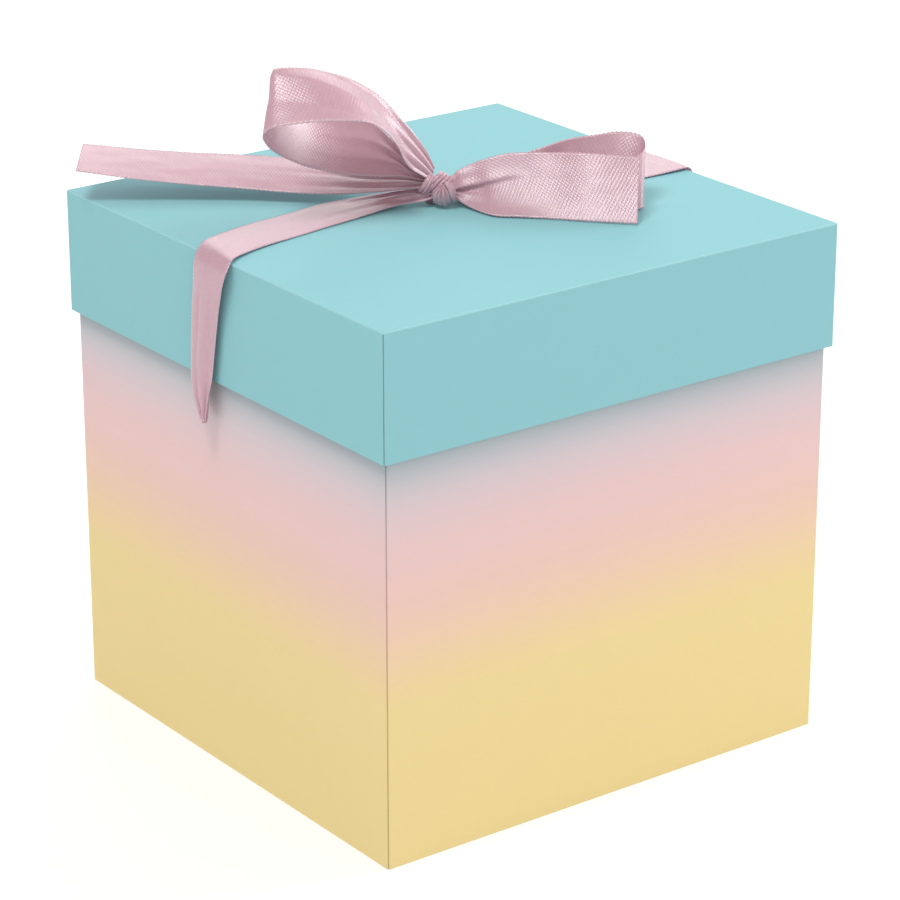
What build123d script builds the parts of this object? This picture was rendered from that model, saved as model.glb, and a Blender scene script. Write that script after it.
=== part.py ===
from build123d import *

# A square gift and flower box with a lift-off lid and a satin ribbon bow.
#
# A two-piece rigid set-up box: greyboard panels, taped at the corners, covered
# in printed paper and lined with white paper. The ribbon bow is tied on the lid
# to a strand that passes through two slits in the lid's top.
#
# Origin: bottom centre of the box. +Z is up, -Y the front, -X the left side.
# Units: millimetres.

import os
from math import cos, radians, sin, sqrt

# Box, outside sizes of the tray
tray_side = 150.0
tray_height = 150.0
lid_height = 35.6

# Materials
tray_board = 1.5
lid_top_board = 1.5
flange_board = 1.0
paper = 0.15
stay_tape = 0.1
stay_width = 18.0

# Fits and folds
lid_gap = 0.3
turn_in = 15.0
lining_step = 3.0
fold_round = 0.3
top_fold_round = 0.3
seam_gap = 0.35

# Ribbon
ribbon_width = 20.0
ribbon_thick = 0.6
ribbon_clear = 0.3
knot_radius = 6.2
knot_foot_radius = 4.7
knot_crown_radius = 2.2
knot_height = 9.6
knot_y = 2.0
slit_width = 1.1
slit_length = 4.2
slit_x = 1.8
slit_y = knot_y + 3.0  # under the back half of the knot, where the bow hides them
drape_drop = 47.0
gather_share = 0.3
full_width_share = 0.6

# Worked-out sizes of the tray, each a half width measured from the middle
outer_fold_round = fold_round + paper
tray_half = tray_side / 2
stay_half = tray_half - paper
wall_half = stay_half - stay_tape
wall_inner_half = wall_half - tray_board
turn_in_half = wall_inner_half - paper
lining_half = turn_in_half - paper

# Worked-out sizes of the lid
lid_inner_half = tray_half + lid_gap
flange_inner_half = lid_inner_half + paper
flange_half = flange_inner_half + flange_board
lid_stay_half = flange_half + stay_tape
lid_half = lid_stay_half + paper

# Heights above the table
base_paper_top = paper
board_bottom = base_paper_top + paper
floor_top = board_bottom + tray_board
wall_top = tray_height - paper
lid_lining_bottom = tray_height
lid_panel_bottom = lid_lining_bottom + paper
lid_panel_top = lid_panel_bottom + lid_top_board
lid_top = lid_panel_top + paper
lid_rim = lid_top - lid_height
flange_bottom = lid_rim + paper
ribbon_bottom = lid_top + ribbon_clear

written = []


def save(piece, name):
    """Label a finished piece and write it to its own file."""
    piece.part.label = name
    export_step(piece.part, "parts/" + name + ".step")
    written.append(name)


def square_band(outer_half, inner_half, low, high, outer_round=0.0, inner_round=0.0):
    """Add an upright square band to the part that is being built."""
    with BuildSketch(Plane.XY.offset(low)) as band:
        for half, corner, mode in (
            (outer_half, outer_round, Mode.ADD),
            (inner_half, inner_round, Mode.SUBTRACT),
        ):
            if corner > 0:
                RectangleRounded(2 * half, 2 * half, corner, mode=mode)
            else:
                Rectangle(2 * half, 2 * half, mode=mode)
    extrude(band.sketch, amount=high - low)


def cut_corner_seam(half, low, high, x_sign, y_sign):
    """Cut the fine upright gap where two edges of a paper meet at a corner."""
    corner = Plane(
        origin=(x_sign * half, y_sign * half, low),
        x_dir=(x_sign, y_sign, 0),
        z_dir=(0, 0, 1),
    )
    with BuildSketch(corner) as seam:
        Rectangle(2 * sqrt(2) * turn_in, seam_gap)
    extrude(seam.sketch, amount=high - low, mode=Mode.SUBTRACT)


def cut_slits():
    """Cut the two slits that the ribbon's strand passes through."""
    with BuildSketch(Plane.XY.offset(lid_lining_bottom)) as slits:
        with Locations((-slit_x, slit_y), (slit_x, slit_y)):
            Rectangle(slit_width, slit_length)
    extrude(slits.sketch, amount=lid_top - lid_lining_bottom, mode=Mode.SUBTRACT)


def make_side_panels(prefix, outer_half, board, low, high):
    """Front and back run the full width; left and right stand between them."""
    inner_half = outer_half - board
    middle = outer_half - board / 2
    sides = {
        "front": (0, -middle, 2 * outer_half, board),
        "back": (0, middle, 2 * outer_half, board),
        "left": (-middle, 0, board, 2 * inner_half),
        "right": (middle, 0, board, 2 * inner_half),
    }
    for side, (x, y, size_x, size_y) in sides.items():
        with BuildPart() as panel:
            with BuildSketch(Plane.XY.offset(low)):
                with Locations((x, y)):
                    Rectangle(size_x, size_y)
            extrude(amount=high - low)
        save(panel, prefix + "_" + side)


def make_corner_stays(name, outer_half, board_half, low, high):
    """Angle strips of tape that hold the panels together at the corners."""
    with BuildPart() as stays:
        square_band(outer_half, board_half, low, high, outer_round=fold_round)
        gap = 2 * (board_half - stay_width)
        with BuildSketch(Plane.XY.offset(low)):
            Rectangle(gap, 3 * outer_half)
            Rectangle(3 * outer_half, gap)
        extrude(amount=high - low, mode=Mode.SUBTRACT)
    save(stays, name)


def make_tray_base_panel():
    with BuildPart() as base_panel:
        with BuildSketch(Plane.XY.offset(board_bottom)):
            Rectangle(2 * wall_inner_half, 2 * wall_inner_half)
        extrude(amount=tray_board)
    save(base_panel, "tray_base_panel")


def make_tray_wrap():
    """Printed paper round the walls, folded in over the rim and under the base."""
    with BuildPart() as wrap:
        square_band(tray_half, stay_half, base_paper_top, tray_height, outer_fold_round, fold_round)
        square_band(stay_half, turn_in_half, wall_top, tray_height, fold_round)
        square_band(wall_inner_half, turn_in_half, wall_top - turn_in, wall_top)
        square_band(stay_half, stay_half - turn_in, base_paper_top, board_bottom, fold_round)
        cut_corner_seam(tray_half, base_paper_top, tray_height, -1, -1)
    save(wrap, "tray_wrap")


def make_tray_linings():
    with BuildPart() as wall_lining:
        square_band(turn_in_half, lining_half, floor_top, wall_top - lining_step)
    save(wall_lining, "tray_wall_lining")
    with BuildPart() as floor_lining:
        with BuildSketch(Plane.XY.offset(floor_top)):
            Rectangle(2 * lining_half, 2 * lining_half)
        extrude(amount=paper)
    save(floor_lining, "tray_floor_lining")


def make_tray_base_paper():
    """The sheet that the box stands on, glued over the folded-in wrap."""
    with BuildPart() as base_paper:
        with BuildSketch():
            Rectangle(2 * (stay_half - lining_step), 2 * (stay_half - lining_step))
        extrude(amount=paper)
    save(base_paper, "tray_base_paper")


def make_lid_top_panel():
    with BuildPart() as top_panel:
        with BuildSketch(Plane.XY.offset(lid_panel_bottom)):
            Rectangle(2 * flange_half, 2 * flange_half)
        extrude(amount=lid_top_board)
        cut_slits()
    save(top_panel, "lid_top_panel")


def make_lid_wrap():
    """One sheet over the top, folded down the sides and in round the rim."""
    with BuildPart() as wrap:
        square_band(lid_half, lid_stay_half, lid_rim, lid_panel_top, outer_fold_round, fold_round)
        with BuildSketch(Plane.XY.offset(lid_panel_top)):
            RectangleRounded(2 * lid_half, 2 * lid_half, outer_fold_round)
        extrude(amount=paper)
        fillet(wrap.faces().sort_by(Axis.Z)[-1].edges(), top_fold_round)
        square_band(lid_stay_half, lid_inner_half, lid_rim, flange_bottom, fold_round)
        square_band(flange_inner_half, lid_inner_half, flange_bottom, flange_bottom + turn_in)
        for x_sign in (-1, 1):
            for y_sign in (-1, 1):
                cut_corner_seam(lid_half, lid_rim, lid_panel_top - top_fold_round, x_sign, y_sign)
        cut_slits()
    save(wrap, "lid_wrap")


def make_lid_top_lining():
    with BuildPart() as lining:
        with BuildSketch(Plane.XY.offset(lid_lining_bottom)):
            Rectangle(2 * flange_inner_half, 2 * flange_inner_half)
        extrude(amount=paper)
        cut_slits()
    save(lining, "lid_top_lining")


def make_ribbon_anchor():
    """The strand under the lid's top that comes up through both slits."""
    strand_width = slit_length - 2 * ribbon_clear
    strand_top = lid_lining_bottom - ribbon_clear
    strand_bottom = strand_top - ribbon_thick
    leg_half = slit_x + ribbon_thick / 2
    with BuildPart() as anchor:
        with BuildSketch(Plane.XZ.offset(-slit_y)):
            with Locations((0, (strand_bottom + lid_top) / 2)):
                Rectangle(2 * leg_half, lid_top - strand_bottom)
            with Locations((0, (strand_top + lid_top) / 2)):
                Rectangle(2 * (leg_half - ribbon_thick), lid_top - strand_top, mode=Mode.SUBTRACT)
        extrude(amount=strand_width / 2, both=True)
    save(anchor, "ribbon_anchor")


def knot_body(grow):
    """A rounded knot that is flat where it lies on the lid."""
    low = ribbon_bottom - grow
    high = ribbon_bottom + knot_height + grow
    middle = (low + high) / 2
    with BuildPart(mode=Mode.PRIVATE) as knot:
        with BuildSketch(Plane.XZ.offset(-knot_y)):
            with BuildLine():
                Line((0, low), (knot_foot_radius + grow, low))
                ThreePointArc(
                    (knot_foot_radius + grow, low),
                    (knot_radius + grow, middle),
                    (knot_crown_radius + grow, high),
                )
                Polyline((knot_crown_radius + grow, high), (0, high), (0, low))
            make_face()
        revolve(axis=Axis((0, knot_y, 0), (0, 0, 1)))
    return knot.part


def make_bow_knot():
    with BuildPart() as knot:
        add(knot_body(0))
    save(knot, "bow_knot")


def make_drape_tail(name, side, lid_outline, hang_outline):
    """A tail that lies flat on the lid and hangs down outside its flange.

    side is -1 for left and 1 for right. Each outline row is a distance with
    the tail's near and far edge there: a distance from the middle of the lid,
    as a share of the way to the lid's edge, or a drop below the lid's top.
    """
    outer_x = lid_half + ribbon_clear + ribbon_thick
    top = ribbon_bottom + ribbon_thick
    wide = ribbon_width
    on_lid = [(side * share * outer_x, near * wide, far * wide) for share, near, far in lid_outline]
    hang = [(top - share * drape_drop, near * wide, far * wide) for share, near, far in hang_outline]
    with BuildPart() as tail:
        with BuildSketch(Plane.XY.offset(ribbon_bottom)):
            with BuildLine():
                near_edge = [(x, near) for x, near, far in on_lid]
                far_edge = [(x, far) for x, near, far in reversed(on_lid)]
                Polyline(*near_edge, *far_edge, close=True)
            make_face()
        extrude(amount=ribbon_thick)
        with BuildSketch(Plane.YZ.offset(side * outer_x)):
            with BuildLine():
                near_edge = [(near, z) for z, near, far in hang]
                far_edge = [(far, z) for z, near, far in reversed(hang)]
                Polyline(*near_edge, *far_edge, close=True)
            make_face()
        extrude(amount=-side * ribbon_thick)
        add(knot_body(ribbon_clear), mode=Mode.SUBTRACT)
    save(tail, name)


def direction(heading, rise):
    """A direction from its angle on the lid and its angle above the lid."""
    level = cos(radians(rise))
    return Vector(cos(radians(heading)) * level, sin(radians(heading)) * level, sin(radians(rise)))


def width_direction(heading, rise, lean):
    """The way across a ribbon that runs along heading and rise.

    A lean of 0 lies flat, its width to the left of the run, and 90 stands.
    """
    run = direction(heading, rise)
    level_side = direction(heading + 90, 0)
    return level_side * cos(radians(lean)) + run.cross(level_side) * sin(radians(lean))


def standing_height(lean):
    """The height of the middle of a strip whose lower edge just clears the lid."""
    return ribbon_bottom + ribbon_clear + sin(radians(lean)) * ribbon_width / 2


def make_bow_tail(name, start, heading, rise, lean, length):
    """A cut end that leaves the knot gathered and widens to the full ribbon."""
    run = direction(heading, rise)
    width_way = width_direction(heading, rise, lean)
    half = ribbon_width / 2
    gathered = half * gather_share
    with BuildPart() as tail:
        with BuildSketch(Plane(origin=start, x_dir=run, z_dir=run.cross(width_way))):
            with BuildLine():
                Polyline(
                    (0, -gathered),
                    (ribbon_width, -half),
                    (length, -half),
                    (length, half),
                    (ribbon_width, half),
                    (0, gathered),
                    close=True,
                )
            make_face()
        extrude(amount=ribbon_thick)
        add(knot_body(ribbon_clear), mode=Mode.SUBTRACT)
    save(tail, name)


def make_bow_loop(name, start, heading, rise, lean, reach, bend_radius, stands):
    """A loop of ribbon: a narrow band round a pear shape, gathered at the knot.

    stands is true for a loop whose lower edge lies level all the way round.
    """
    run = direction(heading, rise)
    width_way = width_direction(heading, rise, lean)
    outline_normal = (0, 0, 1) if stands else width_way
    outline_plane = Plane(origin=start, x_dir=run, z_dir=outline_normal)
    depth_plane = Plane(origin=start, x_dir=run, z_dir=run.cross(width_way))
    pinch_radius = 2 * ribbon_thick
    with BuildPart() as loop:
        with BuildSketch(outline_plane):
            for inset, mode in ((0, Mode.ADD), (ribbon_thick, Mode.SUBTRACT)):
                with BuildSketch(mode=mode):
                    Circle(pinch_radius - inset)
                    with Locations((reach - bend_radius, 0)):
                        Circle(bend_radius - inset)
                    make_hull()
        extrude(amount=ribbon_width, dir=width_way)
        with BuildSketch(depth_plane):
            with BuildLine():
                Polyline(
                    (-ribbon_width, 0),
                    (reach + ribbon_width, 0),
                    (reach + ribbon_width, ribbon_width),
                    (reach * full_width_share, ribbon_width),
                    (0, ribbon_width * gather_share),
                    (-ribbon_width, ribbon_width * gather_share),
                    close=True,
                )
            make_face()
        extrude(amount=2 * ribbon_width, both=True, mode=Mode.INTERSECT)
        add(knot_body(ribbon_clear), mode=Mode.SUBTRACT)
    save(loop, name)


os.makedirs("parts", exist_ok=True)

make_tray_base_panel()
make_side_panels("tray_wall", wall_half, tray_board, board_bottom, wall_top)
make_corner_stays("tray_corner_stays", stay_half, wall_half, board_bottom, wall_top)
make_tray_wrap()
make_tray_linings()
make_tray_base_paper()

make_lid_top_panel()
make_side_panels("lid_flange", flange_half, flange_board, flange_bottom, lid_panel_bottom)
make_corner_stays("lid_corner_stays", lid_stay_half, flange_half, flange_bottom, lid_panel_top)
make_lid_wrap()
make_lid_top_lining()

make_ribbon_anchor()
make_bow_knot()
make_drape_tail(
    "drape_tail_left",
    -1,
    lid_outline=[
        (0.04, 0.0, 0.2),
        (0.16, 0.0, 0.55),
        (0.36, 0.06, 0.85),
        (0.60, -0.03, 0.78),
        (0.84, -0.24, 0.61),
        (1.00, -0.32, 0.53),
    ],
    hang_outline=[
        (0.0, -0.32, 0.53),
        (0.26, -0.35, 0.42),
        (0.77, -0.08, 0.60),
        (1.0, 0.15, 0.23),
    ],
)
make_drape_tail(
    "drape_tail_right",
    1,
    lid_outline=[
        (0.04, 0.0, 0.2),
        (0.16, -0.3, 0.35),
        (0.36, -0.5, 0.45),
        (0.60, -0.6, 0.40),
        (1.00, -0.66, 0.34),
    ],
    hang_outline=[
        (0.0, -0.66, 0.34),
        (0.5, -0.60, 0.36),
        (1.0, -0.40, 0.20),
    ],
)
make_bow_tail("bow_tail_left", (-4, 5, lid_top + 3.8), heading=136, rise=3.6, lean=-6, length=98)
make_bow_tail("bow_tail_right", (3, -2, standing_height(45)), heading=-49.6, rise=0, lean=45, length=51)
make_bow_loop(
    "bow_loop_left",
    (-4.5, 4, lid_top + 7.5),
    heading=178,
    rise=24.3,
    lean=133.6,
    reach=46,
    bend_radius=13.5,
    stands=False,
)
make_bow_loop(
    "bow_loop_right",
    (4.5, -1, ribbon_bottom + ribbon_thick + ribbon_clear),
    heading=-38,
    rise=0,
    lean=60,
    reach=50,
    bend_radius=6,
    stands=True,
)

print(len(written), "pieces written")
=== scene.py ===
import bisect
import math

import bmesh
import bpy
from mathutils import Matrix, Vector, noise


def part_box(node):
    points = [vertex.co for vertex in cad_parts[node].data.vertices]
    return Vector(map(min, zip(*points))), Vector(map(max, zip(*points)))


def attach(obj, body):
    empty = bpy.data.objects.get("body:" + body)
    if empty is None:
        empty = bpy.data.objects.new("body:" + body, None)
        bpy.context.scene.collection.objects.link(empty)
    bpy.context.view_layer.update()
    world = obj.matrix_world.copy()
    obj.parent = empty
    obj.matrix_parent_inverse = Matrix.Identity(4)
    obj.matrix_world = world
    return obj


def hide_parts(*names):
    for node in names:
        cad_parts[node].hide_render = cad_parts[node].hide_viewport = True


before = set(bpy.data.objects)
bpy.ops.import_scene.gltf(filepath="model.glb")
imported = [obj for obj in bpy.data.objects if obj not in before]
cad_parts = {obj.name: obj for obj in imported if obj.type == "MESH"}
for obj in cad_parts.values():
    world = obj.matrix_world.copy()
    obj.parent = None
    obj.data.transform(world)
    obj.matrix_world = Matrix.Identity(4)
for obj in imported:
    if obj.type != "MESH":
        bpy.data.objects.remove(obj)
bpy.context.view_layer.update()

mm = 0.001
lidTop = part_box("lid_wrap")[1].z / mm  # the ribbons' heights are measured from here
print("frame loaded, lid top at", round(lidTop, 2), "mm")


def linear(hexColour):
    # an sRGB hex colour as the linear colour that a socket takes
    parts = [int(hexColour[i:i + 2], 16) / 255 for i in (1, 3, 5)]
    return [c / 12.92 if c <= 0.04045 else ((c + 0.055) / 1.055) ** 2.4 for c in parts] + [1]


def shaded(hexColour, shade):
    return [c * shade for c in linear(hexColour)[:3]] + [1]


def addNode(tree, kind, settings=None, links=None):
    # a node's properties and sockets are set by name, sockets with one name by number
    node = tree.nodes.new("ShaderNode" + kind)
    for key, value in (settings or {}).items():
        if isinstance(key, str) and hasattr(node, key):
            setattr(node, key, value)
        else:
            node.inputs[key].default_value = value
    for key, socket in (links or {}).items():
        tree.links.new(socket, node.inputs[key])
    return node


def newMaterial(name, look):
    material = bpy.data.materials.new(name)
    material.use_nodes = True
    tree = material.node_tree
    shader = tree.nodes["Principled BSDF"]
    for socket in ("Roughness", "IOR", "Specular IOR Level", "Anisotropic", "Sheen Weight",
                   "Sheen Roughness", "Metallic"):
        if socket in look:
            shader.inputs[socket].default_value = look[socket]
    return material, tree, shader


def waveScale(period):
    # the Wave texture makes 20 / (2 pi) bands per unit at scale 1
    return 2 * math.pi / 20 / period


camera = {
    "place": (-0.5515, -0.7421, 0.4370),
    "azimuth": -36.68,
    "elevation": 21.16,
    "lens": 138.9,
}
azimuth, elevation = math.radians(camera["azimuth"]), math.radians(camera["elevation"])
back = Vector((
    math.sin(azimuth) * math.cos(elevation),
    -math.cos(azimuth) * math.cos(elevation),
    math.sin(elevation),
))
cameraData = bpy.data.cameras.new("camera")
cameraData.lens = camera["lens"]
cameraData.sensor_width = 36
cameraObject = bpy.data.objects.new("camera", cameraData)
bpy.context.scene.collection.objects.link(cameraObject)
cameraObject.matrix_world = (
    Matrix.Translation(camera["place"]) @ (-back).to_track_quat("-Z", "Y").to_matrix().to_4x4()
)
bpy.context.scene.camera = cameraObject
bpy.context.scene.view_settings.view_transform = "Standard"

studio = {
    "skyStrength": 0.45,
    "lights": (  # place, side in metres, power in watts
        ((-0.58, -0.14, 1.45), 0.5, 9.5),  # overhead, for the gloss on the raised ribbon
        ((-0.85, -1.5, 0.95), 0.7, 4.5),
        ((1.25, 1.7, 0.95), 1.3, 13.0),  # behind, for the sheen on the flat ribbon
        ((1.35, -0.25, 0.7), 0.8, 15.0),  # from the right, into the left loop
    ),
    "floorColour": "#c4c4c4",
    "floorGlow": (0.48, 0.72),  # close to the box and far from it
    "floorGlowReach": (0.15, 0.9),
}
world = bpy.data.worlds.new("studio")
bpy.context.scene.world = world
world.use_nodes = True
world.node_tree.nodes["Background"].inputs["Color"].default_value = (1, 1, 1, 1)
world.node_tree.nodes["Background"].inputs["Strength"].default_value = studio["skyStrength"]
for place, side, power in studio["lights"]:
    lightData = bpy.data.lights.new("softbox", "AREA")
    lightData.size = side
    lightData.energy = power
    light = bpy.data.objects.new("softbox", lightData)
    bpy.context.scene.collection.objects.link(light)
    toBox = Vector((0, 0, 0.1)) - Vector(place)
    light.matrix_world = Matrix.Translation(place) @ toBox.to_track_quat("-Z", "Y").to_matrix().to_4x4()

floorMesh = bpy.data.meshes.new("floor")
bm = bmesh.new()
bmesh.ops.create_grid(bm, x_segments=1, y_segments=1, size=8)
bm.to_mesh(floorMesh)
bm.free()
floor = bpy.data.objects.new("floor", floorMesh)
bpy.context.scene.collection.objects.link(floor)
floorMaterial, tree, shader = newMaterial("painted_studio_floor", {"Roughness": 0.9})
shader.inputs["Base Color"].default_value = linear(studio["floorColour"])
shader.inputs["Emission Color"].default_value = (1, 1, 1, 1)
distance = addNode(
    tree, "VectorMath", {"operation": "LENGTH"}, {0: addNode(tree, "TexCoord").outputs["Object"]}
)
glow = addNode(
    tree, "MapRange",
    {"From Min": studio["floorGlowReach"][0], "From Max": studio["floorGlowReach"][1],
     "To Min": studio["floorGlow"][0], "To Max": studio["floorGlow"][1]},
    {"Value": distance.outputs["Value"]},
)
tree.links.new(glow.outputs[0], shader.inputs["Emission Strength"])
floorMesh.materials.append(floorMaterial)
print("studio ready")


def objectPoint(tree):
    return addNode(tree, "TexCoord").outputs["Object"]


def foldMask(tree, point, box, width):
    # 1 along the sheet's outer folds, 0 a width away: the product of two nearnesses, at its largest
    low, high = box
    axes = addNode(tree, "SeparateXYZ", links={0: point})
    near = []
    for axis, name in enumerate("XYZ"):
        if axis < 2:
            value = addNode(tree, "Math", {"operation": "ABSOLUTE"}, {0: axes.outputs[name]}).outputs[0]
        else:
            value = axes.outputs[name]
        near.append(addNode(
            tree, "MapRange", {"From Min": high[axis] - width, "From Max": high[axis]}, {"Value": value}
        ).outputs[0])
    pairs = [
        addNode(tree, "Math", {"operation": "MULTIPLY"}, {0: near[a], 1: near[b]}).outputs[0]
        for a, b in ((0, 1), (0, 2), (1, 2))
    ]
    first = addNode(tree, "Math", {"operation": "MAXIMUM"}, {0: pairs[0], 1: pairs[1]}).outputs[0]
    return addNode(tree, "Math", {"operation": "MAXIMUM"}, {0: first, 1: pairs[2]}).outputs[0]


roughSpread = 0.05  # how far a paper's roughness varies either way


def paperSurface(tree, shader, point, look, colour):
    # mottled ink or pulp over the colour, then tooth and board waviness as bump
    mottle = addNode(tree, "TexNoise", {"Scale": 1 / look["mottle"], "Detail": 3}, {"Vector": point})
    shade = addNode(
        tree, "MapRange", {"To Min": 1 - look["mottleDepth"], "To Max": 1 + look["mottleDepth"]},
        {"Value": mottle.outputs["Fac"]},
    )
    tinted = addNode(
        tree, "VectorMath", {"operation": "SCALE"}, {0: colour, "Scale": shade.outputs[0]}
    )
    tree.links.new(tinted.outputs[0], shader.inputs["Base Color"])
    tooth = addNode(tree, "TexNoise", {"Scale": 1 / look["tooth"], "Detail": 4, "Roughness": 0.6},
                    {"Vector": point})
    wave = addNode(tree, "TexNoise", {"Scale": 1 / look["wave"], "Detail": 1}, {"Vector": point})
    rough = addNode(
        tree, "MapRange",
        {"To Min": look["Roughness"] - roughSpread, "To Max": look["Roughness"] + roughSpread},
        {"Value": tooth.outputs["Fac"]},
    )
    tree.links.new(rough.outputs[0], shader.inputs["Roughness"])
    broad = addNode(tree, "Bump", {"Strength": 1, "Distance": look["waveDepth"]},
                    {"Height": wave.outputs["Fac"]})
    fine = addNode(tree, "Bump", {"Strength": 1, "Distance": look["toothDepth"]},
                   {"Height": tooth.outputs["Fac"], "Normal": broad.outputs[0]})
    tree.links.new(fine.outputs[0], shader.inputs["Normal"])
    return fine


# coated art paper, printed a solid turquoise and matt laminated: a soft even face, paler along the outer
# folds as a painted highlight
turquoise = {
    "colour": "#8fc5ca", "foldHighlightColour": "#a2d1d5", "foldWidth": 0.55 * mm, "Roughness": 0.7,
    "IOR": 1.46, "Specular IOR Level": 0.12,
    "mottle": 9 * mm, "mottleDepth": 0.008, "tooth": 0.35 * mm, "toothDepth": 0.006 * mm,
    "wave": 22 * mm, "waveDepth": 0.05 * mm,
}


def turquoisePaper(name, shade):
    # shade under 1 is painted shade: it darkens the lap that shows in a corner seam's narrow gap
    material, tree, shader = newMaterial(name, turquoise)
    point = objectPoint(tree)
    # paler along the outer folds: a painted highlight, where a rounded fold catches the light
    fold = foldMask(tree, point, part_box("lid_wrap"), turquoise["foldWidth"])
    colour = addNode(
        tree, "Mix",
        {"data_type": "RGBA", 6: shaded(turquoise["colour"], shade),
         7: shaded(turquoise["foldHighlightColour"], shade)},
        {0: fold},
    )
    paperSurface(tree, shader, point, turquoise, colour.outputs[2])
    return material


# the same art paper printed with an airbrushed fade, grey lilac through rose to straw yellow; at the top
# the grey lilac is darkened by painted shade
printed = {
    "fade": (  # height in mm, colour
        (20, "#ecd594"), (46, "#ecd596"), (52, "#edd39c"), (60, "#edcea6"), (68, "#ecc9b1"),
        (76, "#eac5b8"), (84, "#e9c4bf"), (92, "#e5c4c2"), (99, "#dec4c6"), (105, "#d3c4c8"),
        # from 109 mm up the print's grey lilac is darkened and turned blue-grey by painted shade under
        # the lid's rim and painted turquoise bounce light from the lid
        (109, "#c6c1c5"), (112, "#b9bbc0"), (115, "#aab3b7"), (119, "#9badb2"),
    ),
    "foldHighlightColour": "#f3e6d6", "foldWidth": 0.45 * mm, "foldHighlightShare": 0.35, "Roughness": 0.55,
    "IOR": 1.46, "Specular IOR Level": 0.35,
    "mottle": 7 * mm, "mottleDepth": 0.008, "tooth": 0.35 * mm, "toothDepth": 0.006 * mm,
    "wave": 24 * mm, "waveDepth": 0.05 * mm,
}


def printedPaper(name, shade):
    # shade under 1 is painted shade: it darkens the lap that shows in a corner seam's narrow gap
    material, tree, shader = newMaterial(name, printed)
    point = objectPoint(tree)
    height = addNode(tree, "SeparateXYZ", links={0: point}).outputs["Z"]
    lowest, highest = printed["fade"][0][0] * mm, printed["fade"][-1][0] * mm
    place = addNode(tree, "MapRange", {"From Min": lowest, "From Max": highest}, {"Value": height})
    ramp = addNode(tree, "ValToRGB", links={0: place.outputs[0]})
    stops = ramp.color_ramp.elements
    for number, (level, hexColour) in enumerate(printed["fade"]):
        share = (level * mm - lowest) / (highest - lowest)
        if 0 < number < len(printed["fade"]) - 1:
            stop = stops.new(share)
        else:
            stop = stops[0 if number == 0 else -1]
            stop.position = share
        stop.color = shaded(hexColour, shade)
    # paler along the outer folds: a painted highlight, where a rounded fold catches the light
    fold = foldMask(tree, point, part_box("tray_wrap"), printed["foldWidth"])
    foldHighlightShare = addNode(
        tree, "Math", {"operation": "MULTIPLY", 1: printed["foldHighlightShare"]}, {0: fold}
    ).outputs[0]
    colour = addNode(
        tree, "Mix", {"data_type": "RGBA", 7: shaded(printed["foldHighlightColour"], shade)},
        {0: foldHighlightShare, 6: ramp.outputs["Color"]},
    )
    paperSurface(tree, shader, point, printed, colour.outputs[2])
    return material


# plain papers and board, each one colour with its own grain
plainPapers = {
    "uncoated_lining_paper": {  # white woodfree lining: bright and dead matt
        "colour": "#f3f1ec", "Roughness": 0.85, "IOR": 1.45, "mottle": 3 * mm, "mottleDepth": 0.02,
        "tooth": 0.25 * mm, "toothDepth": 0.02 * mm, "wave": 18 * mm, "waveDepth": 0.06 * mm,
        "nodes": ("tray_wall_lining", "tray_floor_lining", "tray_base_paper", "lid_top_lining"),
    },
    "recycled_greyboard": {  # pulped waste paper: warm grey with dark flecks
        "colour": "#a39c91", "fleckColour": "#6e675e", "Roughness": 0.92, "IOR": 1.45,
        "mottle": 1.6 * mm, "mottleDepth": 0.07, "tooth": 0.3 * mm, "toothDepth": 0.04 * mm,
        "wave": 15 * mm, "waveDepth": 0.05 * mm,
        "nodes": ("tray_base_panel", "lid_top_panel") + tuple(
            part + "_" + side for part in ("tray_wall", "lid_flange")
            for side in ("front", "back", "left", "right")),
    },
}
fleckSize = 0.5 * mm
fleckRange = (0.62, 0.7)  # where the noise starts to be a fleck, and where it is one
# painted shade for the corner seams: the lap's colour is darkened by this much
seamPaintedShade = 0.66
paperOf = {
    "lid_wrap": turquoisePaper("laminated_turquoise_paper", 1),
    "tray_wrap": printedPaper("laminated_printed_paper", 1),
    "lid_corner_stays": turquoisePaper("turquoise_paper_lap_in_painted_shade", seamPaintedShade),  # the wrap's lap covers the tape, its colour darkened by painted shade for the seam's gap
    "tray_corner_stays": printedPaper("printed_paper_lap_in_painted_shade", seamPaintedShade),
}
for name, look in plainPapers.items():
    material, tree, shader = newMaterial(name, look)
    point = objectPoint(tree)
    fleck = addNode(tree, "TexNoise", {"Scale": 1 / fleckSize, "Detail": 2}, {"Vector": point})
    fleckShare = addNode(
        tree, "MapRange", {"From Min": fleckRange[0], "From Max": fleckRange[1]},
        {"Value": fleck.outputs["Fac"]},
    )
    colour = addNode(
        tree, "Mix",
        {"data_type": "RGBA", 6: linear(look["colour"]),
         7: linear(look.get("fleckColour", look["colour"]))},
        {0: fleckShare.outputs[0]},
    )
    paperSurface(tree, shader, point, look, colour.outputs[2])
    for node in look["nodes"]:
        paperOf[node] = material
for node, material in paperOf.items():
    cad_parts[node].data.materials.clear()
    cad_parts[node].data.materials.append(material)
print("papers on", len(paperOf), "nodes")


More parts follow.
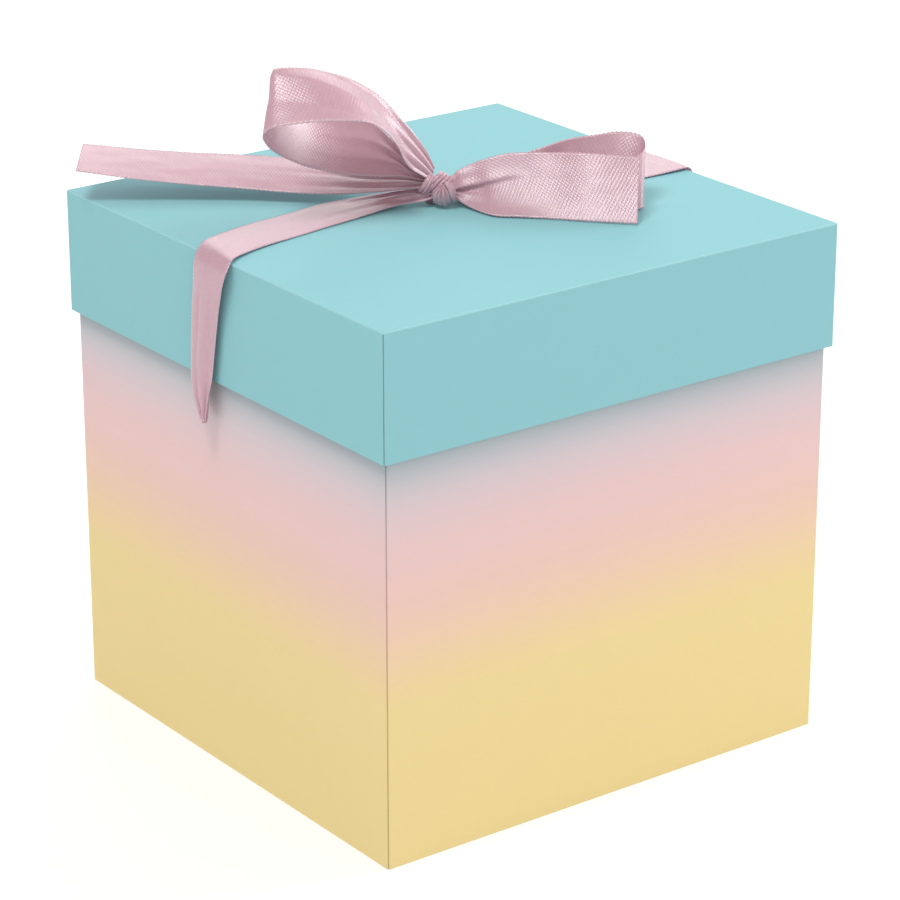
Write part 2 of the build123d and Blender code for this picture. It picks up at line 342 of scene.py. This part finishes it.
# woven double-face polyester satin: long floats give a soft directional gloss, and the thread
# lines glint. The weave is drawn coarser than the real 0.1 mm threads, so that it shows.
satin = {
    "colour": "#dcb2be", "slubAndGapShadeColour": "#cc9ead", "Roughness": 0.36, "IOR": 1.7,
    "Specular IOR Level": 1.0, "Anisotropic": 0.4, "Sheen Weight": 0.9, "Sheen Roughness": 0.3,
    "twillPitch": 0.8 * mm, "twillAngle": 52, "twillDepth": 0.045 * mm,
    "ribPitch": 0.95 * mm, "ribAngle": -24, "ribDepth": 0.004 * mm,
    "throughColour": "#f0c9d4", "throughShare": 0.22,  # light passes through the thin cloth
    "slubSize": 2.5 * mm, "edgeWidth": 0.6 * mm, "edgeColour": "#e2bcc7", "edgeDepth": 0.05 * mm,
    "gapPaintedShade": -0.45, "sheenColour": "#fff0f3",
}
ribbonWidth = 20.0  # mm
satinMaterial, tree, shader = newMaterial("woven_polyester_satin", satin)
shader.inputs["Sheen Tint"].default_value = linear(satin["sheenColour"])
weave = addNode(tree, "UVMap", {"uv_map": "weave"}).outputs[0]
turned = addNode(
    tree, "Mapping", {"vector_type": "POINT", "Rotation": (0, 0, math.radians(satin["twillAngle"]))},
    {"Vector": weave},
)
twill = addNode(
    tree, "TexWave",
    {"wave_type": "BANDS", "bands_direction": "Y", "Scale": waveScale(satin["twillPitch"]),
     "Distortion": 2.0, "Detail": 2, "Detail Scale": 1.2},
    {"Vector": turned.outputs[0]},
)
crossed = addNode(
    tree, "Mapping", {"vector_type": "POINT", "Rotation": (0, 0, math.radians(satin["ribAngle"]))},
    {"Vector": weave},
)
rib = addNode(
    tree, "TexWave",
    {"wave_type": "BANDS", "bands_direction": "Y", "Scale": waveScale(satin["ribPitch"]),
     "Distortion": 1.5, "Detail": 1},
    {"Vector": crossed.outputs[0]},
)
floats = addNode(  # short floats of thread, where the two ways cross
    tree, "Math", {"operation": "MULTIPLY"}, {0: twill.outputs["Fac"], 1: rib.outputs["Fac"]}
).outputs[0]
slub = addNode(tree, "TexNoise", {"Scale": 1 / satin["slubSize"], "Detail": 3}, {"Vector": weave})
across = addNode(tree, "SeparateXYZ", links={0: weave}).outputs["X"]
fromEdge = addNode(
    tree, "Math", {"operation": "PINGPONG", 1: ribbonWidth / 2 * mm}, {0: across}
).outputs[0]
selvedge = addNode(
    tree, "MapRange", {"From Min": satin["edgeWidth"], "From Max": satin["edgeWidth"] * 0.8},
    {"Value": fromEdge},
).outputs[0]
# darker between the raised thread floats: painted shade in the weave's gaps, over the slub's uneven tone
# of the thread itself
gapShadeShare = addNode(
    tree, "Math", {"operation": "MULTIPLY", 1: satin["gapPaintedShade"]}, {0: floats}
).outputs[0]
slubAndGapShade = addNode(
    tree, "Math", {"operation": "MULTIPLY_ADD", 1: 1.0, "use_clamp": True},
    {0: slub.outputs["Fac"], 2: gapShadeShare},
)
body = addNode(
    tree, "Mix", {"data_type": "RGBA", 6: linear(satin["colour"]), 7: linear(satin["slubAndGapShadeColour"])},
    {0: slubAndGapShade.outputs[0]},
)
edged = addNode(
    tree, "Mix", {"data_type": "RGBA", 7: linear(satin["edgeColour"])},
    {0: selvedge, 6: body.outputs[2]},
)
tree.links.new(edged.outputs[2], shader.inputs["Base Color"])
ribBump = addNode(
    tree, "Bump", {"Strength": 1, "Distance": satin["ribDepth"]}, {"Height": rib.outputs["Fac"]}
)
twillBump = addNode(
    tree, "Bump", {"Strength": 1, "Distance": satin["twillDepth"]},
    {"Height": floats, "Normal": ribBump.outputs[0]},
)
edgeBump = addNode(
    tree, "Bump", {"Strength": 1, "Distance": satin["edgeDepth"]},
    {"Height": selvedge, "Normal": twillBump.outputs[0]},
)
tree.links.new(edgeBump.outputs[0], shader.inputs["Normal"])
glow = addNode(
    tree, "BsdfTranslucent", {"Color": linear(satin["throughColour"])}, {"Normal": edgeBump.outputs[0]}
)
both = addNode(tree, "MixShader", {0: satin["throughShare"]}, {1: shader.outputs[0], 2: glow.outputs[0]})
tree.links.new(both.outputs[0], tree.nodes["Material Output"].inputs["Surface"])
tangent = addNode(tree, "Tangent", {"direction_type": "UV_MAP", "uv_map": "weave"})
tree.links.new(tangent.outputs[0], shader.inputs["Tangent"])


cloth = {
    "thickness": 0.25,  # mm
    "rowLength": 0.32,  # mm along the ribbon, four rows to a picot
    "columns": 30,
    "picotPitch": 1.25,
    "picotDepth": 0.34,
    "wrinkle": 0.12,
    "wrinklePerPleat": 0.25,  # pleated cloth wrinkles more
    "wrinkleScale": (0.09, 5),  # per mm along the ribbon, and across its whole width
    "secondPleat": (0.35, 1.1),  # a smaller pleat inside each pleat: its share and its phase
    "cordRound": 0.7,  # under 1, a rounded pleat's valleys are sharp
    "rimSteep": 0.018, "rimDrop": 0.7,  # how sudden a rim's fold is, and how far it comes back up
    "lipAt": 0.05, "lipWidth": 0.05,  # shares of the width
    "creaseSlope": 0.62, "creaseWidth": 0.4,
}


def valuesAt(stations, places, place, closed=False):
    # a smooth curve through the stations' numbers, at a distance along the ribbon
    last = len(places) - 1
    i = min(max(bisect.bisect_right(places, place) - 1, 0), len(places) - 2)
    gap = places[i + 1] - places[i]
    t = (place - places[i]) / gap

    def slope(k):
        if closed and k in (0, last):  # a ring's two ends are one place
            span = places[last] - places[last - 1] + places[1]
            return [(y - x) / span * gap for x, y in zip(stations[last - 1], stations[1])]
        a, b = max(k - 1, 0), min(k + 1, last)
        return [(y - x) / (places[b] - places[a]) * gap for x, y in zip(stations[a], stations[b])]

    m0, m1 = slope(i), slope(i + 1)
    h00, h10, h01, h11 = 2*t**3 - 3*t**2 + 1, t**3 - 2*t**2 + t, 3*t**2 - 2*t**3, t**3 - t**2
    return [
        h00 * a + h10 * p + h01 * b + h11 * q
        for a, b, p, q in zip(stations[i], stations[i + 1], m0, m1)
    ]


def placed(values):
    # a station's near edge point, far edge point, crown and pleat depth
    return Vector(values[0:3]), Vector(values[3:6]), values[6], values[7]


def makeRibbon(name, plan):
    # a flat grid bent through the stations: rows run across the ribbon, columns along it
    stations = plan["stations"]
    closed = plan.get("closed", False)
    middles = [(Vector(s[0:3]) + Vector(s[3:6])) / 2 for s in stations]
    places = [0.0]
    for a, b in zip(middles, middles[1:]):
        places.append(places[-1] + (b - a).length)
    rows = max(12, round(places[-1] / cloth["rowLength"]))
    columns = plan.get("columns", cloth["columns"])
    bm = bmesh.new()
    bmesh.ops.create_grid(bm, x_segments=rows, y_segments=columns, size=0.5)
    weaveLayer = bm.loops.layers.uv.new("weave")
    frames, length, lastMiddle = [], 0.0, None
    for row in range(rows + 1):
        place = places[-1] * row / rows
        near, far, crown, pleat = placed(valuesAt(stations, places, place, closed))
        step = places[-1] / rows / 2
        if closed:
            ends = (place - step) % places[-1], (place + step) % places[-1]
        else:
            ends = max(place - step, 0), min(place + step, places[-1])
        before, after = (placed(valuesAt(stations, places, end, closed)) for end in ends)
        along = (after[0] + after[1] - before[0] - before[1]).normalized()
        face = (far - near).cross(along).normalized()
        middle = (near + far) / 2
        length += (middle - lastMiddle).length if lastMiddle else 0
        lastMiddle = middle
        frames.append((near, far, crown, pleat, face, length))
    weaveOf, total = {}, frames[-1][5]
    for vert in bm.verts:
        row = round((vert.co.x + 0.5) * rows)
        side = vert.co.y + 0.5
        near, far, crown, pleat, face, length = frames[row]
        widthWay = (far - near).normalized()
        angle = 2 * math.pi * (plan["pleats"] * side + plan.get("drift", 0.3) * row / rows)
        lift, lip = crown * 4 * side * (1 - side), 0
        if plan.get("rounded"):  # full cords of cloth with sharp valleys between, on the side it names
            cord = abs(math.sin(angle / 2)) ** cloth["cordRound"]
            lift += plan["rounded"] * pleat * (2 * cord - 1)
        else:
            second, phase = cloth["secondPleat"]
            lift += pleat * (math.sin(angle) + second * math.sin(2 * angle + phase))
        if "rim" in plan:  # the far edge folded over by the knot, with a slit of shade under the fold
            height, foldSide, reach = plan["rim"]
            fade = max(0, 1 - length / reach)
            over = 1 / (1 + math.exp((foldSide - side) / cloth["rimSteep"]))
            lift -= height * fade * over * (
                1 - cloth["rimDrop"] * ((side - foldSide) / (1 - foldSide)) ** 2
            )
            fromLip = (side - foldSide - cloth["lipAt"]) / cloth["lipWidth"]
            lip = height * fade * math.exp(-fromLip ** 2)
        if "crease" in plan:  # a soft diagonal fold from the far edge in towards the near one
            start, end, ridge = plan["crease"]
            share = (length - start) / (end - start)
            if 0 < share < 1:
                fromFold = abs(side - (1 - cloth["creaseSlope"] * share))
                lift -= ridge * max(0, 1 - fromFold / cloth["creaseWidth"]) * math.sin(math.pi * share)
        turn = 2 * math.pi * row / rows
        alongScale, acrossScale = cloth["wrinkleScale"]
        walk = (math.cos(turn), math.sin(turn)) if closed else (length * alongScale, 0)
        lift += (cloth["wrinkle"] + cloth["wrinklePerPleat"] * abs(pleat)) * noise.noise(
            Vector((walk[0], side * acrossScale + walk[1], plan["seed"]))
        )
        spot = near.lerp(far, side) + face * lift - widthWay * lip
        picotTurns = round(total / cloth["picotPitch"]) * length / total
        spread = min(1, (far - near).length / ribbonWidth) ** 2  # gathered edges hardly show their picots
        picot = spread * cloth["picotDepth"] * 0.5 * (1 + math.cos(2 * math.pi * picotTurns))
        if side < 0.001:
            spot -= widthWay * picot
        elif side > 0.999:
            spot += widthWay * picot
        weaveOf[vert.index] = (side * ribbonWidth * mm, length * mm)
        vert.co = Vector((spot.x, spot.y, spot.z + lidTop)) * mm
    for bmFace in bm.faces:
        bmFace.smooth = True
        for loop in bmFace.loops:
            loop[weaveLayer].uv = weaveOf[loop.vert.index]
    if closed:
        bmesh.ops.remove_doubles(bm, verts=bm.verts[:], dist=0.02 * mm)
    mesh = bpy.data.meshes.new(name)
    bm.to_mesh(mesh)
    bm.free()
    mesh.materials.append(satinMaterial)
    ribbon = bpy.data.objects.new(name, mesh)
    bpy.context.scene.collection.objects.link(ribbon)
    wall = ribbon.modifiers.new("thickness", "SOLIDIFY")
    wall.thickness = cloth["thickness"] * mm
    wall.offset = 0
    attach(ribbon, "lid")
    print("made", name, "length", round(frames[-1][5], 1), "mm")
    return ribbon


# each station: near edge x y z, far edge x y z, crown, pleat depth, all in mm above the lid's top
leftTail = makeRibbon("left_tail", {
    "pleats": 3, "drift": 0.5, "seed": 3.1,
    "stations": (
        (-2.5, 3.0, 5.0, -1.5, 4.5, 6.5, 0.3, 0.9),
        (-6.0, 5.0, 4.6, -3.5, 8.5, 7.0, 0.3, 0.9),
        (-10.5, 9.2, 3.8, -4.0, 15.0, 7.0, 0.3, 0.8),
        (-15.7, 14.6, 3.0, -7.0, 23.0, 7.0, 0.3, 0.5),
        (-21.5, 20.0, 2.5, -11.5, 35.0, 6.4, 0.4, 0.2),
        (-30.6, 25.8, 3.0, -20.0, 42.0, 7.2, 0.6, 0.05),
        (-41.5, 36.0, 3.8, -30.0, 52.0, 7.6, 0.5, 0.0),
        (-56.0, 47.0, 5.2, -44.0, 62.5, 8.4, 0.3, 0.0),
        (-67.0, 54.5, 6.8, -55.0, 70.0, 9.5, 0.3, 0.0),
        (-81.0, 63.5, 9.5, -69.0, 79.5, 11.3, 0.2, 0.0),
    ),
})
rightTail = makeRibbon("right_tail", {
    "pleats": 2, "drift": 0.2, "seed": 7.7, "rim": (1.9, 0.66, 24), "columns": 56,
    "stations": (
        (0.5, 0.0, 3.5, 0.0, 1.5, 6.5, 0.2, 0.5),
        (1.8, -2.8, 2.2, 1.5, 0.5, 7.6, 0.8, 0.4),
        (2.6, -7.0, 1.2, 4.4, 1.0, 8.8, 1.8, 0.25),
        (3.2, -12.0, 0.8, 7.8, -0.8, 10.6, 2.4, 0.12),
        (4.6, -16.6, 0.6, 11.0, -3.8, 12.4, 2.2, 0.0),
        (8.8, -20.8, 0.6, 15.8, -8.1, 14.2, 1.6, 0.0),
        (15.7, -27.8, 0.5, 23.9, -17.1, 15.2, 0.6, 0.0),
        (22.4, -36.2, 0.6, 30.2, -26.1, 15.9, 0.2, 0.0),
        (31.0, -45.7, 0.7, 40.1, -35.5, 15.2, 0.0, 0.0),
    ),
})
leftLoop = makeRibbon("left_loop", {
    "pleats": 3, "drift": 0.4, "seed": 1.4, "rounded": -1, "crease": (56, 96, 1.9),
    "stations": (
        (-2.0, 3.5, 6.0, -1.5, 4.5, 7.0, 0.0, 0.5),
        (-6.0, 6.2, 7.4, -4.5, 9.6, 10.6, 0.0, 0.6),
        (-10.5, 7.6, 8.6, -7.0, 15.5, 16.0, 0.0, 0.5),
        (-16.6, 9.0, 9.5, -11.2, 21.0, 21.5, -0.6, 0.25),
        (-26.8, 12.2, 11.4, -20.5, 25.8, 24.5, -0.8, 0.1),
        (-37.1, 13.8, 14.8, -30.5, 27.3, 28.0, -0.4, 0.0),
        (-47.0, 12.9, 20.2, -38.8, 24.5, 34.3, -0.6, 0.0),
        (-51.8, 11.4, 24.0, -41.8, 21.2, 38.4, -0.5, 0.0),
        (-54.6, 9.0, 27.9, -43.6, 18.9, 41.3, -0.2, 0.0),
        (-53.6, 6.4, 30.2, -43.0, 18.3, 41.7, 0.0, 0.0),
        (-47.3, 2.1, 31.4, -38.5, 17.2, 41.4, -0.3, 0.0),
        (-40.0, -1.7, 31.7, -33.0, 15.6, 40.7, -0.2, 0.0),
        (-30.4, -4.8, 30.4, -24.8, 13.8, 38.0, 0.4, 0.1),
        (-24.6, -4.3, 27.1, -18.5, 13.8, 34.6, 0.5, 0.2),
        (-17.6, -1.0, 20.3, -12.2, 14.6, 30.0, 0.4, 0.3),
        (-13.5, 2.0, 15.0, -7.6, 11.9, 24.0, 0.2, 0.5),
        (-9.6, 3.8, 11.2, -4.0, 10.0, 18.9, 0.0, 0.6),
        (-6.0, 3.6, 8.8, -2.0, 7.2, 14.4, 0.0, 0.6),
        (-3.0, 3.0, 7.0, -0.8, 4.8, 10.0, 0.0, 0.4),
    ),
})
rightLoop = makeRibbon("right_loop", {
    "pleats": 2, "drift": 0.3, "seed": 5.2,
    "stations": (
        (3.0, 2.0, 2.5, 4.0, 4.0, 6.0, 0.0, 0.5),
        (10.0, -6.0, 1.0, 13.0, -2.5, 8.0, 0.0, 0.5),
        (19.0, -18.5, 0.7, 25.0, -12.8, 12.2, 0.0, 0.2),
        (28.0, -29.0, 0.7, 34.0, -22.6, 13.3, 0.0, 0.0),
        (35.5, -35.0, 0.8, 42.0, -29.0, 13.2, 0.0, 0.0),
        (40.5, -36.0, 0.9, 47.4, -28.5, 14.8, 0.0, 0.0),
        (43.0, -32.5, 0.9, 50.2, -23.6, 17.0, 0.0, 0.0),
        (42.0, -27.5, 0.8, 47.0, -18.3, 17.5, 0.0, 0.0),
        (37.0, -22.5, 0.7, 40.9, -15.2, 17.0, -0.3, 0.0),
        (29.0, -17.5, 0.7, 33.4, -12.3, 16.4, -0.3, 0.0),
        (20.0, -11.5, 0.7, 25.0, -9.8, 14.6, 0.0, 0.2),
        (11.0, -2.5, 1.0, 14.0, -0.5, 9.0, 0.0, 0.5),
        (3.5, 3.5, 3.0, 4.0, 5.0, 6.5, 0.0, 0.5),
    ),
})
leftDrape = makeRibbon("left_drape", {
    "pleats": 2.5, "drift": 0.25, "seed": 9.3,
    "stations": (
        (-2.0, 1.0, 3.0, -1.0, 3.5, 4.2, 0.2, 0.7),
        (-5.5, 1.9, 2.0, -3.0, 5.5, 4.0, 0.3, 0.6),
        (-11.5, 5.5, 1.0, -7.5, 13.0, 2.4, 0.5, 0.4),
        (-21.8, 5.4, 0.5, -15.0, 18.5, 1.0, 0.7, 0.12),
        (-33.4, 3.9, 0.4, -27.5, 20.5, 0.6, 0.6, 0.03),
        (-51.6, 0.9, 0.4, -45.4, 18.2, 0.5, 0.3, 0.0),
        (-59.5, -0.6, 0.5, -53.0, 17.0, 0.7, 0.3, 0.0),
        (-66.2, -2.4, 0.6, -60.5, 15.0, 1.0, 0.3, 0.0),
        (-73.0, -5.4, 1.0, -68.5, 11.4, 1.6, 0.3, 0.0),
        (-76.9, -8.2, 1.0, -74.6, 8.0, 2.0, 0.2, 0.0),
        (-78.9, -9.3, -1.0, -78.2, 6.0, 0.6, 0.3, 0.0),
        (-79.3, -8.0, -4.2, -79.3, 6.2, -3.0, 0.5, 0.0),
        (-79.1, -6.4, -8.2, -79.1, 7.2, -8.0, 0.8, 0.1),
        (-78.7, -4.4, -13.8, -78.8, 8.6, -14.5, 1.1, 0.2),
        (-78.4, -2.9, -20.0, -78.5, 9.7, -21.5, 1.3, 0.25),
        (-78.4, -1.4, -27.5, -78.4, 10.6, -29.5, 1.3, 0.25),
        (-78.4, -0.1, -34.4, -78.4, 10.6, -36.4, 1.1, 0.4),
        (-78.5, 1.4, -39.6, -78.4, 9.2, -41.6, 0.7, 0.65),
        (-78.6, 2.2, -43.2, -78.5, 7.2, -44.6, 0.4, 0.8),
        (-79.0, 2.6, -45.8, -78.8, 5.6, -46.6, 0.2, 0.7),
        (-79.8, 1.6, -46.6, -79.6, 4.2, -47.6, 0.0, 0.4),
    ),
})
rightDrape = makeRibbon("right_drape", {
    "pleats": 1.5, "drift": 0.2, "seed": 12.6,
    "stations": (
        (2.0, 1.5, 2.5, 2.5, 4.0, 3.5, -0.2, 0.6),
        (11.0, -3.5, 0.9, 12.0, 5.0, 1.4, -0.3, 0.6),
        (25.0, -8.5, 0.5, 24.0, 7.5, 0.6, -0.4, 0.3),
        (45.0, -11.5, 0.4, 45.0, 8.4, 0.4, -0.3, 0.0),
        (62.0, -12.6, 0.4, 62.5, 7.3, 0.4, -0.3, 0.0),
        (73.0, -13.2, 0.8, 73.4, 6.8, 0.7, -0.2, 0.0),
        (77.2, -13.2, 0.6, 77.2, 6.6, 0.5, -0.2, 0.0),
        (78.7, -12.8, -2.3, 78.6, 6.2, -2.4, -0.3, 0.0),
        (78.6, -11.8, -8.0, 78.5, 5.6, -8.0, -0.7, 0.2),
        (78.3, -10.6, -18.0, 78.2, 4.6, -17.0, -1.4, 0.3),
        (78.3, -9.6, -28.0, 78.2, 3.2, -27.5, -1.4, 0.3),
        (78.5, -7.0, -38.0, 78.4, 1.5, -37.0, -1.0, 0.4),
        (78.5, -4.5, -45.0, 78.5, -0.5, -44.6, -0.5, 0.4),
    ),
})
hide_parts("bow_tail_left")
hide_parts("bow_tail_right")
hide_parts("bow_loop_left")
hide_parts("bow_loop_right")
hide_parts("drape_tail_left")
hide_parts("drape_tail_right")


knot = {
    "wrapCentre": (-0.6, 2.7, 5.7), "wrapAxis": (0.44, -0.63, -0.64), "wrapRadius": 2.8, "wrapWidth": 4.4,
    "wrapPleats": 4, "wrapDepth": 0.32,
    "collarCentre": (-3.6, 4.5, 6.0), "collarAxis": (0.75, -0.38, -0.5), "collarRadius": 2.3,
    "collarWidth": 3.0, "collarPleats": 3, "collarDepth": 0.26,
    "ballCentre": (-1.4, -0.4, 3.9), "ballRadius": (3.3, 3.1, 3.5), "ballFolds": 11, "ballFoldDepth": 1.4,
    "ballTilt": (-0.33, -0.44, 1.0),  # the pinch at the ball's top leans forward
    "ballPinch": 0.3, "ballDimple": 0.28, "ballWrinkle": 0.15,
    "ballFoldTwist": 0.7, "ballFoldSway": 0.5, "ballFoldRound": 0.6,
}


def ringStations(centre, axis, radius, width, crown, pleat, turns=12):
    # stations round a ring; near and far edges lie along its axis
    axis = Vector(axis).normalized()
    first = axis.cross(Vector((0, 0, 1))).normalized()
    second = first.cross(axis)
    stations = []
    for turn in range(turns + 1):
        angle = 2 * math.pi * turn / turns
        middle = Vector(centre) + (first * math.cos(angle) + second * math.sin(angle)) * radius
        stations.append((*(middle - axis * width / 2), *(middle + axis * width / 2), crown, pleat))
    return stations


wrap = makeRibbon("knot_wrap", {
    "pleats": knot["wrapPleats"], "drift": 0, "seed": 2.2, "closed": True, "columns": 64, "rounded": 1,
    "stations": ringStations(knot["wrapCentre"], knot["wrapAxis"], knot["wrapRadius"],
                             knot["wrapWidth"], 0.6, knot["wrapDepth"]),
})
collar = makeRibbon("knot_collar", {
    "pleats": knot["collarPleats"], "drift": 0, "seed": 4.4, "closed": True, "columns": 54, "rounded": 1,
    "stations": ringStations(knot["collarCentre"], knot["collarAxis"], knot["collarRadius"],
                             knot["collarWidth"], 0.7, knot["collarDepth"]),
})
lobe = makeRibbon("knot_lobe", {
    "pleats": 2, "drift": 0.1, "seed": 8.3, "columns": 20, "rounded": -1,
    "stations": (
        (-1.9, -1.4, 7.2, -1.2, -0.5, 7.3, -0.2, 0.1),
        (-1.7, -2.6, 6.6, -0.2, -1.4, 7.2, -0.5, 0.18),
        (-1.7, -3.2, 5.9, 0.5, -2.2, 6.5, -0.5, 0.2),
        (-1.7, -3.7, 4.8, 0.9, -2.8, 5.3, -0.5, 0.2),
        (-1.1, -3.8, 3.4, 1.0, -3.2, 4.0, -0.5, 0.2),
        (-0.2, -3.4, 2.3, 0.9, -3.0, 2.9, -0.3, 0.1),
        (0.2, -2.6, 1.6, 0.8, -2.4, 2.0, -0.2, 0.1),
    ),
})
bm = bmesh.new()
weaveLayer = bm.loops.layers.uv.new("weave")
bmesh.ops.create_uvsphere(bm, u_segments=156, v_segments=56, radius=1)
tilt = Vector((0, 0, 1)).rotation_difference(Vector(knot["ballTilt"]))
for bmFace in bm.faces:
    bmFace.smooth = True
    for loop in bmFace.loops:  # the threads run down the folds
        side = math.atan2(loop.vert.co.y, loop.vert.co.x) / math.pi
        loop[weaveLayer].uv = (
            ribbonWidth / 2 * mm * (1 + abs(side)), loop.vert.co.z * knot["ballRadius"][2] * mm
        )
for vert in bm.verts:
    around, level = math.atan2(vert.co.y, vert.co.x), vert.co.z
    # wide and narrow folds by turns, deepest by the pinch and gone under the ball
    sway = knot["ballFoldTwist"] * level + knot["ballFoldSway"] * math.sin(2 * around)
    fold = abs(math.sin(around * knot["ballFolds"] / 2 + sway)) ** knot["ballFoldRound"]
    depth = knot["ballFoldDepth"] * (0.25 + 0.75 * max(level, 0)) * (1 - abs(level) ** 8)
    pinch = 1 - knot["ballPinch"] * max(level, 0) ** 3
    dimple = knot["ballDimple"] * max(level, 0) ** 12
    spot = Vector((vert.co.x * pinch, vert.co.y * pinch, level - dimple))
    spot = tilt @ Vector(a * b for a, b in zip(spot, knot["ballRadius"]))
    spot *= 1 - depth * (1 - fold) / knot["ballRadius"][0]
    spot += spot.normalized() * knot["ballWrinkle"] * noise.noise(spot * 0.5)
    vert.co = (spot + Vector(knot["ballCentre"]) + Vector((0, 0, lidTop))) * mm
mesh = bpy.data.meshes.new("knot_ball")
bm.to_mesh(mesh)
bm.free()
mesh.materials.append(satinMaterial)
ball = bpy.data.objects.new("knot_ball", mesh)
bpy.context.scene.collection.objects.link(ball)
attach(ball, "lid")
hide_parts("bow_knot")

strandHalf = 0.3  # mm, half the thickness of the strand that the strap replaces
low, high = (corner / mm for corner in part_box("ribbon_anchor"))
legX, nearY, farY = high.x - strandHalf, low.y, high.y  # the legs' place in the two slits
underZ = low.z - lidTop + strandHalf
strap = makeRibbon("ribbon_strap", {
    "pleats": 3, "drift": 0.1, "seed": 6.1,
    "stations": (
        (-legX + 0.6, nearY + 2.2, 3.0, -legX + 0.6, farY + 0.4, 3.0, 0.0, 0.08),
        (-legX + 0.2, nearY + 1.2, 0.6, -legX + 0.2, farY + 0.2, 0.6, 0.0, 0.06),
        (-legX, nearY, -1.2, -legX, farY, -1.2, 0.0, 0.06),
        (-legX + 0.4, nearY - 0.3, underZ, -legX + 0.4, farY + 0.3, underZ, 0.0, 0.08),
        (0.0, nearY - 0.6, underZ - 0.1, 0.0, farY + 0.6, underZ - 0.1, 0.0, 0.08),
        (legX - 0.4, nearY - 0.3, underZ, legX - 0.4, farY + 0.3, underZ, 0.0, 0.08),
        (legX, nearY, -1.2, legX, farY, -1.2, 0.0, 0.06),
        (legX - 0.2, nearY + 0.6, 0.6, legX - 0.2, farY + 0.2, 0.6, 0.0, 0.06),
        (legX - 0.6, nearY + 1.4, 3.0, legX - 0.6, farY + 0.4, 3.0, 0.0, 0.08),
    ),
})
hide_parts("ribbon_anchor")
# the lengths are those of the ribbons as made here, as printed above. The right loop is declared
# 4 mm short of its own, and the left drape's slanted end is a guess.
print("knot made")
